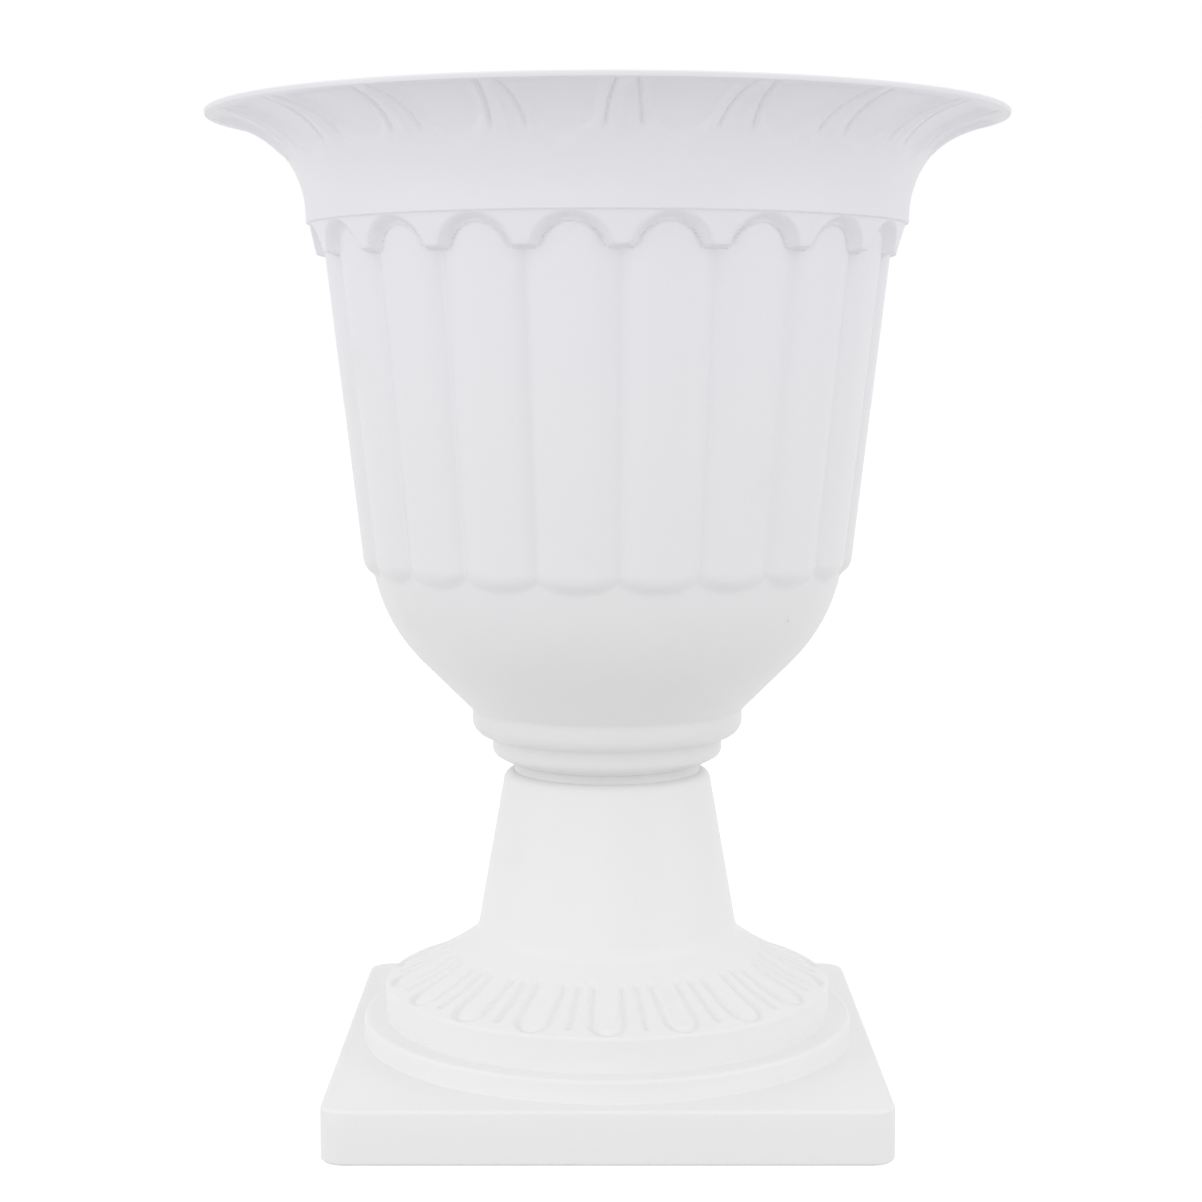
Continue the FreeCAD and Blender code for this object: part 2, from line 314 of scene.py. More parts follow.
# ---- the bowl ------------------------------------------------------------------------------------
BOWL_WALL = 1.6 * MM
FOOT_RADIUS = 36.9 * MM
FOOT_HEIGHT = 11.6 * MM
SEAT_HEIGHT = 2.0 * MM
SEAT_RING = (30.0 * MM, 28.5 * MM)     # radius at the pedestal, and under the foot
FOOT_SWEEP = (20.0 * MM, 32.0)         # radius of the foot's shallow underside, and its last slope
FOOT_ROUND = 2.9 * MM
RING_RADIUS = 43.4 * MM
RING_HEIGHT = 7.8 * MM
RING_ROUND = 5.2 * MM
CUP_ANGLE = 45.0
CUP_CONE = 14.8 * MM           # radial length of the cup's straight part
CUP_BEND = 55.0 * MM
CUP_STEP = (1.3 * MM, 2.0 * MM)
CUP_CORNER = 2.6 * MM                  # radius of the hollow corner over the ring
BODY_TAPER = 6.52
BODY_HEIGHT = 95.5 * MM
REED_SHARE = 0.282
REED_LIFT = 1.4 * MM
REED_SQUASH = 2.0                      # how many times lower than a ball a reed's end is
COLLAR_HEIGHT = 9.5 * MM
COLLAR_OUT_LOW = 2.6 * MM
COLLAR_OUT_HIGH = 4.7 * MM
NECK_STEP = 1.0 * MM
NECK_RISE = 2.2 * MM
FLARE = ((30.0 * MM, 90.0, 52.0, 9), (27.6 * MM, 52.0, 22.0, 20), (54.0 * MM, 22.0, 8.0, 16))
FLOOR_THICKNESS = 4.0 * MM
DRAIN_RADIUS = 6.0 * MM
SPIGOT_RADIUS = 11.5 * MM
SPIGOT_WALL = 2.2 * MM
LIP_BEAD = 0.25 * MM                   # how far the lip's rounded edge stands out
COVE_DROP = 0.6 * MM                   # how far a scallop's cove starts below the reed
COVE_EDGE = 0.3 * MM                   # half the width of the step down from the reed
COVE_BEND = 1.5                        # power with which the cove climbs to the collar's face
REED_FLATNESS = 1.4                    # a round section has 1; more flattens the reed's face
REED_BLEND = 0.5 * MM
DART_SPLAY = (2.5 * MM, 0.1)           # a dart line's distance from the spine, and its growth
DART_LINE = 0.6 * MM
DART_SPINE = (1.5 * MM, 0.6 * MM)      # half width and height of a dart's ridge
EGG_GAP = 1.0 * MM                     # between an egg and the dart's line
EGG_BOTTOM = (21.0 * MM, 10.0 * MM)    # way at which an egg starts to close, and its length from there
COLUMNS_PER_REED = 34
FLARE_COLUMNS = 60                     # over each reed

FOOT_TOP = SEAT + FOOT_HEIGHT
RING_TOP = FOOT_TOP + RING_HEIGHT
SWEEP_SHARE = math.sin(math.radians(FOOT_SWEEP[1]))
SWEEP_START = (FOOT_RADIUS - FOOT_SWEEP[0] * SWEEP_SHARE - FOOT_ROUND * (1 - SWEEP_SHARE),
               SEAT + SEAT_HEIGHT)
FLOOR = RING_TOP + FLOOR_THICKNESS
CUP_START = (RING_RADIUS + CUP_STEP[0], RING_TOP + CUP_STEP[1])
CUP_KNEE = (CUP_START[0] + CUP_CONE, CUP_START[1] + CUP_CONE * math.tan(math.radians(CUP_ANGLE)))
BODY_START = curve(CUP_KNEE, CUP_BEND, CUP_ANGLE, 90.0 - BODY_TAPER, 1)[-1]
LEAN = math.tan(math.radians(BODY_TAPER))
COLLAR_LOW = BODY_START[1] + BODY_HEIGHT
COLLAR_TOP = COLLAR_LOW + COLLAR_HEIGHT


def groove_radius(height):
    """Radius between the reeds at a height."""
    return BODY_START[0] + (height - BODY_START[1]) * LEAN


def foot_rows(start, inset, count):
    """Rows of the foot's underside, or with an inset of its inner face, up to the foot's side."""
    rows = curve(start, FOOT_SWEEP[0] - inset, 0.0, FOOT_SWEEP[1], count)
    return rows + curve(rows[-1], FOOT_ROUND - inset, FOOT_SWEEP[1], 90.0, count)


def bowl_profile(proud):
    """Closed profiles of the body and the flare, tagged with their outside and the way to the lip."""
    crown = groove_radius(COLLAR_LOW) + proud
    neck = (crown + COLLAR_OUT_HIGH + NECK_STEP, COLLAR_TOP)
    flare_start = (neck[0], COLLAR_TOP + NECK_RISE)
    rows = [(DRAIN_RADIUS, FLOOR), (DRAIN_RADIUS, RING_TOP)]
    bore = SPIGOT_RADIUS - SPIGOT_WALL
    rows += [(bore, RING_TOP), (bore, SPIGOT_LOW), (SPIGOT_RADIUS - 0.6 * MM, SPIGOT_LOW)]
    rows += [(SPIGOT_RADIUS, SPIGOT_LOW + 0.6 * MM), (SPIGOT_RADIUS, RING_TOP)]
    hollow = RING_RADIUS - BOWL_WALL
    rows += [(hollow, RING_TOP), (hollow, FOOT_TOP + RING_ROUND + BOWL_WALL / 2)]
    inner = foot_rows((SWEEP_START[0], SWEEP_START[1] + BOWL_WALL), BOWL_WALL, 4)[2:]
    rows += [(FOOT_RADIUS - BOWL_WALL, FOOT_TOP + BOWL_WALL)] + inner[::-1]
    mouth = SEAT_RING[1] - BOWL_WALL
    rows += [(mouth, SWEEP_START[1] + BOWL_WALL), (mouth, SEAT)]
    first_outside = len(rows)
    rows += [(SEAT_RING[0], SEAT)]
    rows += [row for row in foot_rows(SWEEP_START, 0.0, 8) if row[0] > SEAT_RING[1]]
    rows += straight(rows[-1], (FOOT_RADIUS, FOOT_TOP - 0.5 * MM), 1)
    rows += straight(rows[-1], (FOOT_RADIUS + 0.1 * MM, FOOT_TOP), 1)
    rows += [(RING_RADIUS - RING_ROUND, FOOT_TOP)]
    rows += curve(rows[-1], RING_ROUND, 0.0, 90.0, 7)
    corner = CUP_CORNER * math.tan(math.radians(90.0 - CUP_ANGLE) / 2)
    meet = CUP_START[1] - CUP_STEP[0] * math.tan(math.radians(CUP_ANGLE))
    rows += straight(rows[-1], (RING_RADIUS, meet - corner), 2)
    rows += curve(rows[-1], CUP_CORNER, 90.0, CUP_ANGLE, 4)
    rows += straight(rows[-1], CUP_KNEE, 4)
    rows += curve(CUP_KNEE, CUP_BEND, CUP_ANGLE, 90.0 - BODY_TAPER, 34)
    ball = BODY_START[1] + REED_LIFT
    rows += straight(BODY_START, (groove_radius(ball), ball), 2)
    straight_top = COLLAR_LOW - 1.6 * MM
    rows += straight(rows[-1], (groove_radius(straight_top), straight_top), 8)
    rows += straight(rows[-1], (groove_radius(COLLAR_LOW), COLLAR_LOW), 4)
    edge = COLLAR_TOP - 0.05 * MM
    rows += straight(rows[-1], (groove_radius(edge), edge), 20)
    last_relief = len(rows)
    rows += [(neck[0] - 0.25 * MM, COLLAR_TOP), (neck[0], COLLAR_TOP + 0.3 * MM), flare_start]
    first_flare = len(rows) - 1
    for radius, slope_from, slope_to, count in FLARE:
        rows += curve(rows[-1], radius, slope_from, slope_to, count)
    last_flare = len(rows) - 1
    lip = rows[-1]
    normal = math.radians(FLARE[-1][2] + 90.0)
    lip_in = (lip[0] + BOWL_WALL * math.cos(normal), lip[1] + BOWL_WALL * math.sin(normal))
    bead = lip[0] + LIP_BEAD
    rows += [(bead, lip[1] + 0.3 * BOWL_WALL), (bead, lip[1] + 0.75 * BOWL_WALL)]
    rows += [lip_in]
    for radius, slope_from, slope_to, count in reversed(FLARE):
        rows += curve(rows[-1], -(radius + BOWL_WALL), slope_to, slope_from, max(3, count // 3))
    inner_neck = len(rows) - 1
    inner_top = (groove_radius(COLLAR_LOW) - BOWL_WALL, COLLAR_LOW)
    rows += straight(rows[-1], inner_top, 2)
    inner_low = (BODY_START[0] - BOWL_WALL, BODY_START[1])
    rows += straight(inner_top, inner_low, 3)
    rows += curve(inner_low, -(CUP_BEND - BOWL_WALL), 90.0 - BODY_TAPER, CUP_ANGLE, 6)
    floor_edge = CUP_START[0] + FLOOR - CUP_START[1] - BOWL_WALL / math.cos(math.radians(CUP_ANGLE))
    rows += straight(rows[-1], (floor_edge + 1.2 * MM, FLOOR + 1.2 * MM), 2)
    rows += [(floor_edge - 1.0 * MM, FLOOR)]
    rows += straight(rows[-1], (DRAIN_RADIUS, FLOOR), 3)[:-1]
    outside = [1.0 if first_outside <= i < last_relief else 0.0 for i in range(len(rows))]
    way, gone = [-1.0] * len(rows), 0.0
    for i in range(last_flare, first_flare - 1, -1):
        way[i] = gone
        gone += math.dist(rows[i], rows[i - 1])
    tags = {"outside": outside, "way": way}
    body = [i for i in range(len(rows)) if i <= first_flare or i >= inner_neck]
    flare = range(first_flare, inner_neck + 1)
    return [([rows[i] for i in part],
             {label: [values[i] for i in part] for label, values in tags.items()})
            for part in (body, flare)]


def reed_angle(net, values):
    """Radius, height and the angle from the middle of the nearest reed, at each point."""
    place = net.add("GeometryNodeInputPosition").out()
    parts = net.add("ShaderNodeSeparateXYZ", {}, {0: place})
    x, y, z = parts.out(0), parts.out(1), parts.out(2)
    radius = (x.squared() + y.squared()).root()
    angle = x.math("ARCTAN2", 0.0 - y)
    step = 2 * math.pi / values["Count"]
    turns = (angle - values["Turn"]) / step
    return radius, z, ((turns + 0.5).math("FRACT") - 0.5) * step, step


def reeds(radius, z, angle, values):
    """Radius of the body with its reeds, flat in the face and ending in a squashed ball at their foot."""
    ball = BODY_START[1] + REED_LIFT
    crown = (z.most(ball) - BODY_START[1]) * LEAN + BODY_START[0] + values["Reed height"]
    middle, rod = crown * (1.0 - REED_SHARE), crown * REED_SHARE
    below = (ball - z).most(0.0) * REED_SQUASH
    room = rod.squared() - (middle * angle.math("SINE")).squared() - below.squared()
    reed = middle * angle.math("COSINE") + room.root()
    shown = room.math("GREATER_THAN", 0.0) * reed
    fallen = (1.0 - (shown - radius).most(0.0) / values["Reed height"]).most(0.0)
    flat = radius + (1.0 - fallen.math("POWER", REED_FLATNESS)) * values["Reed height"]
    return radius.math("SMOOTH_MAX", shown.math("GREATER_THAN", radius) * flat, REED_BLEND)


def scallops(radius, z, angle, values):
    """Radius with the collar, which one coved arch opens over each reed."""
    crown = groove_radius(COLLAR_LOW) + values["Reed height"]
    climb = (z - COLLAR_LOW) / COLLAR_HEIGHT
    face = crown + COLLAR_OUT_LOW + climb * (COLLAR_OUT_HIGH - COLLAR_OUT_LOW)
    above = (z - (COLLAR_TOP - values["Arch outer"])).most(0.0)
    away = ((face * angle).squared() + above.squared()).root()
    cover = away.ease(values["Arch inner"], values["Arch outer"]).math("POWER", COVE_BEND)
    sunk = away.ease(values["Arch inner"] - COVE_EDGE, values["Arch inner"] + COVE_EDGE) * COVE_DROP
    started = z.ease(COLLAR_LOW - 1.4 * MM, COLLAR_LOW + 0.2 * MM)
    low = radius - sunk * (1.0 - cover)
    return radius + (low + (face - low) * cover - radius) * started


def egg_and_dart(radius, angle, step, values, way):
    """Depth of the ornament under the flare: round-ended hollows with a dart between each two."""
    half = radius * step * 0.5
    across = (radius * angle).size()
    from_dart = half - across
    splay = way * DART_SPLAY[1] + DART_SPLAY[0]
    line = ((from_dart - splay) / DART_LINE).squared()
    line_shape = (0.0 - line).math("EXPONENT")
    span = way.ease(1.5 * MM, 4.0 * MM) * (1.0 - way.ease(25.0 * MM, 28.5 * MM))
    spine = (0.0 - (from_dart / DART_SPINE[0]).squared()).math("EXPONENT")
    spine_span = way.ease(1.5 * MM, 5.0 * MM) * (1.0 - way.ease(24.0 * MM, 29.0 * MM))
    room = half - splay - EGG_GAP
    low = (way - EGG_BOTTOM[0]).most(0.0) / EGG_BOTTOM[1]
    inside = ((across / room).squared() + low.squared()).root()
    hollow = (1.0 - inside.ease(0.72, 1.0)) * way.ease(2.0 * MM, 8.0 * MM)
    return (spine * spine_span * DART_SPINE[1] - line_shape * span * values["Dart depth"]
            - hollow * values["Egg depth"])


def bowl_tree(sizes):
    """Geometry tree that carves the reeds, the scalloped collar and the egg-and-dart."""
    net, values = geometry_tree("Bowl relief", sizes)
    radius, z, angle, step = reed_angle(net, values)
    outside = named(net, "outside")
    way = named(net, "way")
    body = scallops(reeds(radius, z, angle, values), z, angle, values)
    grown = radius + (body - radius) * outside
    place = net.add("GeometryNodeInputPosition").out()
    factor = grown / radius
    stretch = net.add("ShaderNodeCombineXYZ", {}, {0: factor, 1: factor, 2: 1.0}).out()
    moved = net.add("ShaderNodeVectorMath", {"operation": "MULTIPLY"}, {0: place, 1: stretch}).out()
    on_flare = way.math("GREATER_THAN", 0.0)
    depth = egg_and_dart(radius, angle, step, values, way) * on_flare
    normal = net.add("GeometryNodeInputNormal").out()
    push = net.add("ShaderNodeVectorMath", {"operation": "SCALE"}, {0: normal, "Scale": depth}).out()
    shaped = net.add("GeometryNodeSetPosition", {},
                     {"Geometry": values["Geometry"], "Position": moved, "Offset": push}).out()
    close_tree(net, shaped, values["Material"])
    return net


def named(net, label):
    """A float attribute of the mesh."""
    return net.add("GeometryNodeInputNamedAttribute", {"data_type": "FLOAT"}, {"Name": label}).out()


# ---- the pedestal --------------------------------------------------------------------------------
PEDESTAL_WALL = 2.0 * MM
PLINTH_HEIGHT = 16.5 * MM
PLINTH_CORNER = 7.5 * MM
PLINTH_EDGE = 1.2 * MM
LOWER_STEP = (79.0 * MM, 7.2 * MM)     # radius, height
UPPER_STEP = (71.9 * MM, 11.0 * MM)
STEP_EDGE = 1.4 * MM
SKIRT_TOP_RADIUS = 43.4 * MM
SKIRT_RISE = 15.0 * MM
SKIRT_HOLLOW = 105.0 * MM
COLUMN_FOOT = (41.4 * MM, 5.0 * MM)
COLUMN_HEAD = 33.5 * MM
COLUMN_EDGE = 3.5 * MM
SOCKET_RADIUS = 12.5 * MM
SOCKET_WALL = 1.8 * MM
SOCKET_DEPTH = 20.0 * MM
SOCKET_PIN = 0.1 * MM                  # the socket's floor closes to a pin hole
LEAF_START = 50.3 * MM
LEAF_TIP = 69.3 * MM
LEAF_TAPER = 0.6                       # power with which a tongue narrows inwards
FLUTE_SHORT = 2.6 * MM                 # how much sooner a flute ends than a tongue
COLUMNS_PER_LEAF = 36

LOWER_TOP = PLINTH_HEIGHT + LOWER_STEP[1]
UPPER_TOP = LOWER_TOP + UPPER_STEP[1]
SKIRT_TOP = UPPER_TOP + SKIRT_RISE
COLUMN_FOOT_Z = SKIRT_TOP + COLUMN_FOOT[1]


def hollow_arc(start, end, radius, rows):
    """Rows along an arc between two places, without the start; it bulges down and inwards."""
    chord = math.dist(start, end)
    sag = radius - math.sqrt(radius ** 2 - (chord / 2) ** 2)
    turn = -1.0 if end[0] > start[0] else 1.0
    side = (turn * (start[1] - end[1]) / chord, turn * (end[0] - start[0]) / chord)
    result = []
    for i in range(1, rows + 1):
        t = i / rows
        drop = 4 * sag * t * (1 - t)
        result.append((start[0] + (end[0] - start[0]) * t + side[0] * drop,
                       start[1] + (end[1] - start[1]) * t + side[1] * drop))
    return result


def square_reach(half, corner, angle):
    """Distance from the middle to a rounded square's edge at an angle."""
    p, q = abs(math.sin(angle)), abs(math.cos(angle))
    p, q = max(p, q), min(p, q)
    if half * q / p <= half - corner:
        return half / p
    b = (half - corner) * (p + q)
    return b + math.sqrt(max(b * b - (2 * (half - corner) ** 2 - corner ** 2), 0.0))


def pedestal_profile():
    """Closed profile of the pedestal, and for each row how square it is."""
    w = PEDESTAL_WALL
    edge = PLINTH_EDGE * math.sqrt(0.5)
    rows, square = [], []

    def add(new, amount=0.0):
        rows.extend(new)
        square.extend([amount] * len(new))

    inner = PLINTH_HALF - w
    add([(inner, PLINTH_HEIGHT - w), (inner, 0.3 * MM), (inner + 0.3 * MM, 0.0)], 1.0)
    add([(PLINTH_HALF - 0.5 * MM, 0.0), (PLINTH_HALF, 0.5 * MM), (PLINTH_HALF, PLINTH_HEIGHT / 2),
         (PLINTH_HALF, PLINTH_HEIGHT - PLINTH_EDGE)], 1.0)
    add(curve(rows[-1], PLINTH_EDGE, 90.0, 180.0, 5), 1.0)
    add([(PLINTH_HALF - 3 * MM, PLINTH_HEIGHT)], 1.0)
    add([(LOWER_STEP[0] + 1.2 * MM, PLINTH_HEIGHT),
         (LOWER_STEP[0] + 0.2 * MM, PLINTH_HEIGHT + 0.15 * MM)])
    add([(LOWER_STEP[0], PLINTH_HEIGHT + 0.5 * MM), (LOWER_STEP[0], LOWER_TOP - STEP_EDGE)])
    add(curve(rows[-1], STEP_EDGE, 90.0, 180.0, 5))
    add([(UPPER_STEP[0] + 0.8 * MM, LOWER_TOP), (UPPER_STEP[0] + 0.1 * MM, LOWER_TOP + 0.1 * MM),
         (UPPER_STEP[0], LOWER_TOP + 0.7 * MM), (UPPER_STEP[0], UPPER_TOP - STEP_EDGE)])
    add(curve(rows[-1], STEP_EDGE, 90.0, 150.0, 5))
    skirt_foot = rows[-1]
    first_skirt = len(rows)
    skirt_head = (SKIRT_TOP_RADIUS, SKIRT_TOP)
    add(hollow_arc(skirt_foot, skirt_head, SKIRT_HOLLOW, 44))
    last_skirt = len(rows)
    foot = (COLUMN_FOOT[0], COLUMN_FOOT_Z)
    add(hollow_arc(skirt_head, foot, 9.0 * MM, 7))
    head = (COLUMN_HEAD, SEAT - COLUMN_EDGE)
    add(straight(foot, head, 8))
    add(curve(head, COLUMN_EDGE, 90.0, 180.0, 7))
    add([(SOCKET_RADIUS + 0.8 * MM, SEAT), (SOCKET_RADIUS, SEAT - 0.8 * MM)])
    tube_floor = SEAT - SOCKET_DEPTH
    tube_low = tube_floor - SOCKET_WALL
    add([(SOCKET_RADIUS, tube_floor), (SOCKET_PIN, tube_floor), (SOCKET_PIN, tube_low)])
    add([(SOCKET_RADIUS + SOCKET_WALL, tube_low)])
    add([(SOCKET_RADIUS + SOCKET_WALL, SEAT - w), (COLUMN_HEAD - w - 1.5 * MM, SEAT - w)])
    add([(COLUMN_HEAD - w, SEAT - w - 1.5 * MM), (foot[0] - w, foot[1])])
    add([(SKIRT_TOP_RADIUS - w, SKIRT_TOP - w)])
    add(hollow_arc(rows[-1], (UPPER_STEP[0] - w, UPPER_TOP - w), SKIRT_HOLLOW, 5))
    add([(UPPER_STEP[0] - w, LOWER_TOP - w), (LOWER_STEP[0] - w, LOWER_TOP - w - 0.2 * MM)])
    add([(LOWER_STEP[0] - w, PLINTH_HEIGHT - w)])
    add([(PLINTH_HALF - 8 * MM, PLINTH_HEIGHT - w)], 1.0)
    skirt = [1.0 if first_skirt <= i < last_skirt else 0.0 for i in range(len(rows))]
    return rows, square, {"outside": skirt}


def pedestal_reach(rows, square):
    """Radius of each row at an angle: round, or the plinth's rounded square."""
    def reach(row, angle):
        radius = rows[row][0]
        if not square[row]:
            return radius
        inset = PLINTH_HALF - radius
        return square_reach(radius, max(PLINTH_CORNER - inset, 1.5 * MM), angle)
    return reach


def leaf_tree(sizes):
    """Geometry tree that cuts the skirt's round-ended tongues and the flutes between them."""
    net, values = geometry_tree("Skirt relief", sizes)
    radius, z, angle, step = reed_angle(net, values)
    width, depth = values["Line width"], values["Line depth"]
    skirt = named(net, "outside")
    half = values["Leaf half width"]
    shoulder = LEAF_TIP - half
    arm = radius * angle
    beyond = (radius - shoulder).most(0.0)
    taper = (radius.least(shoulder) / shoulder).math("POWER", LEAF_TAPER)
    outline = ((arm.squared() + beyond.squared()).root() - half * taper).size()
    flute_angle = angle.size() - step * 0.5
    past = (radius - (LEAF_TIP - FLUTE_SHORT)).most(0.0)
    flute = ((radius * flute_angle).squared() + past.squared()).root()
    nearest = outline.least(flute)
    groove = 1.0 - nearest.ease(width * 0.12, width * 0.72)
    started = radius.ease(LEAF_START - 0.8 * MM, LEAF_START + 0.8 * MM)
    normal = net.add("GeometryNodeInputNormal").out()
    drop = 0.0 - groove * started * depth * skirt
    push = net.add("ShaderNodeVectorMath", {"operation": "SCALE"}, {0: normal, "Scale": drop}).out()
    cut = net.add("GeometryNodeSetPosition", {}, {"Geometry": values["Geometry"], "Offset": push}).out()
    close_tree(net, cut, values["Material"])
    return net


# ---- ribs under the mouldings --------------------------------------------------------------------
def rib_tree(sizes, start, end, low, high):
    """Geometry tree that sets upright ribs evenly about the axis."""
    net, values = geometry_tree("Ribs", sizes)
    size = (sizes["Thickness"], end - start, high - low)
    box = net.add("GeometryNodeMeshCube", {}, {"Size": size}).out()
    placed = net.add("GeometryNodeTransform", {},
                     {"Geometry": box, "Translation": (0.0, -(start + end) / 2, (low + high) / 2)}).out()
    spots = net.add("GeometryNodePoints", {}, {"Count": values["Count"]}).out()
    index = net.add("GeometryNodeInputIndex").out()
    spin = index * (2 * math.pi / values["Count"]) + values["Turn"]
    turned = net.add("ShaderNodeCombineXYZ", {}, {2: spin}).out()
    copies = net.add("GeometryNodeInstanceOnPoints", {},
                     {"Points": spots, "Instance": placed, "Rotation": turned}).out()
    close_tree(net, copies, values["Material"])
    return net


def ribs(name, count, turn, start, end, low, high, material):
    """A ring of stiffening ribs as one piece."""
    sizes = {"Count": count, "Turn": turn, "Thickness": 1.6 * MM}
    piece = link_object(name, bpy.data.meshes.new(name))
    return run_tree(piece, rib_tree(sizes, start, end, low, high), sizes, material, crease=30.0)


# ---- plastics ------------------------------------------------------------------------------------
DIRT = (0.45, 0.43, 0.40, 1.0)
# Painted light: the bowl's colour fades between these heights, darker below and lighter above.
TINT_AND_PAINTED_LIGHT_HEIGHTS = (0.11, 0.29)    # heights between which a fading colour changes


def moulded_plastic(name, colour, roughness, shaded_low_colour=None):
    """Satin moulded plastic with clouds, grain, specks and rubs; a low colour, when given, darkens it
    downwards: painted shade low down, painted light on the top.
    """
    material = bpy.data.materials.new(name)
    material.use_nodes = True
    net = Net(material.node_tree)
    material.node_tree.nodes.clear()
    place = net.add("ShaderNodeTexCoord").out("Object")

    def noise(scale, detail, rough=0.5):
        sockets = {"Vector": place, "Scale": scale, "Detail": detail, "Roughness": rough}
        return net.add("ShaderNodeTexNoise", {}, sockets).out("Fac")

    clouds = noise(9.0, 3.0)
    rubs = noise(24.0, 4.0, 0.65).ease(0.60, 0.78)
    grain = noise(900.0, 2.0)
    waves = noise(26.0, 1.0)
    dots = net.add("ShaderNodeTexVoronoi", {}, {"Vector": place, "Scale": 55.0})
    chance = net.add("ShaderNodeSeparateColor", {}, {0: dots.out("Color")}).out(0)
    speck = (1.0 - dots.out("Distance").ease(0.018, 0.045)) * chance.math("GREATER_THAN", 0.93)
    height = net.add("ShaderNodeSeparateXYZ", {}, {0: place}).out(2)
    # Painted shade and light: darker low down, lighter and a little bluer high up, where a low colour is
    # given.
    plain = net.add("ShaderNodeMix", {"data_type": "RGBA"},
                    {"Factor": height.ease(*TINT_AND_PAINTED_LIGHT_HEIGHTS), "A": tuple(shaded_low_colour or colour) + (1.0,),
                     "B": tuple(colour) + (1.0,)}).out("Result")
    shade = net.add("ShaderNodeMix", {"data_type": "RGBA", "blend_type": "MULTIPLY"},
                    {"Factor": 1.0, "A": plain, "B": (0.975, 0.975, 0.975, 1.0)}).out("Result")
    tone = net.add("ShaderNodeMix", {"data_type": "RGBA"},
                   {"Factor": clouds, "A": plain, "B": shade}).out("Result")
    dusty = net.add("ShaderNodeMix", {"data_type": "RGBA"},
                    {"Factor": speck * 0.35 + rubs * 0.05, "A": tone, "B": DIRT}).out("Result")
    rough = clouds * 0.05 + grain * 0.05 + rubs * 0.10 + (roughness - 0.06)
    relief = grain * 0.35 + waves * 0.65
    bump = net.add("ShaderNodeBump", {}, {"Strength": 0.10, "Distance": 0.0006, "Height": relief}).out()
    shader = net.add("ShaderNodeBsdfPrincipled", {},
                     {"Base Color": dusty, "Roughness": rough, "Normal": bump, "IOR": 1.49}).out()
    net.add("ShaderNodeOutputMaterial", {}, {"Surface": shader})
    material.diffuse_color = tuple(colour) + (1.0,)
    return material


# ---- stage ---------------------------------------------------------------------------------------
CAMERA_AWAY = 762.9 * MM
CAMERA_HEIGHT = 238.7 * MM
CAMERA_ASIDE = -2.0 * MM
CAMERA_DOWN = math.radians(6.07)
CAMERA_FOCUS = 2385.5          # focal length in photograph pixels
WHITE = (1.0, 1.0, 1.0, 1.0)
FLOOR_BOUNCE = (0.72, 0.72, 0.72, 1.0)  # what the floor throws back onto the urn
FLOOR_PALE = (0.42, 0.42, 0.42, 1.0)    # what takes the urn's shadow, where the floor is seen
FLOOR_GLOW = 0.74                       # lifts the seen floor to white
URN_MIDDLE = (0.0, 0.0, 0.2)


def camera():
    """The photograph's viewpoint."""
    data = bpy.data.cameras.new("photo_camera")
    data.sensor_width = 36.0
    data.lens = CAMERA_FOCUS / PHOTO_SIDE * data.sensor_width
    data.clip_start = 0.01
    seen = link_object("photo_camera", data)
    seen.location = (CAMERA_ASIDE, -CAMERA_AWAY, CAMERA_HEIGHT)
    seen.rotation_euler = (math.radians(90.0) - CAMERA_DOWN, 0.0, 0.0)
    bpy.context.scene.camera = seen


def area_light(name, place, aim, width, height, power):
    """A large soft light that faces a point."""
    data = bpy.data.lights.new(name, "AREA")
    data.shape = "RECTANGLE"
    data.size = width
    data.size_y = height
    data.energy = power
    lamp = link_object(name, data)
    lamp.location = place
    lamp.rotation_euler = (Vector(aim) - Vector(place)).to_track_quat("-Z", "Y").to_euler()


def seen_directly(net):
    """One for rays from the camera, a reflection or a clear piece, and nought for soft light."""
    path = net.add("ShaderNodeLightPath")
    mirrored = path.out("Is Glossy Ray").most(path.out("Is Transmission Ray"))
    return path.out("Is Camera Ray").most(mirrored)


def white_world(fill):
    """White to the eye and in reflections, and an even fill on the object."""
    world = bpy.data.worlds.new("studio")
    bpy.context.scene.world = world
    world.use_nodes = True
    net = Net(world.node_tree)
    world.node_tree.nodes.clear()
    seen = seen_directly(net)
    strength = seen * (1.0 - fill) + fill
    back = net.add("ShaderNodeBackground", {}, {"Color": WHITE, "Strength": strength}).out()
    net.add("ShaderNodeOutputWorld", {}, {"Surface": back})


def floor_material():
    """Pale floor that is nearly white by itself and keeps the urn's shadow."""
    material = bpy.data.materials.new("stage_floor")
    material.use_nodes = True
    net = Net(material.node_tree)
    material.node_tree.nodes.clear()
    seen = seen_directly(net)
    matt = net.add("ShaderNodeBsdfDiffuse", {}, {"Color": FLOOR_BOUNCE}).out()
    pale = net.add("ShaderNodeBsdfDiffuse", {}, {"Color": FLOOR_PALE}).out()
    glow = net.add("ShaderNodeEmission", {}, {"Color": WHITE, "Strength": FLOOR_GLOW}).out()
    lit = net.add("ShaderNodeAddShader", {}, {0: pale, 1: glow}).out()
    mixed = net.add("ShaderNodeMixShader", {}, {0: seen, 1: matt, 2: lit}).out()
    net.add("ShaderNodeOutputMaterial", {}, {"Surface": mixed})
    return material


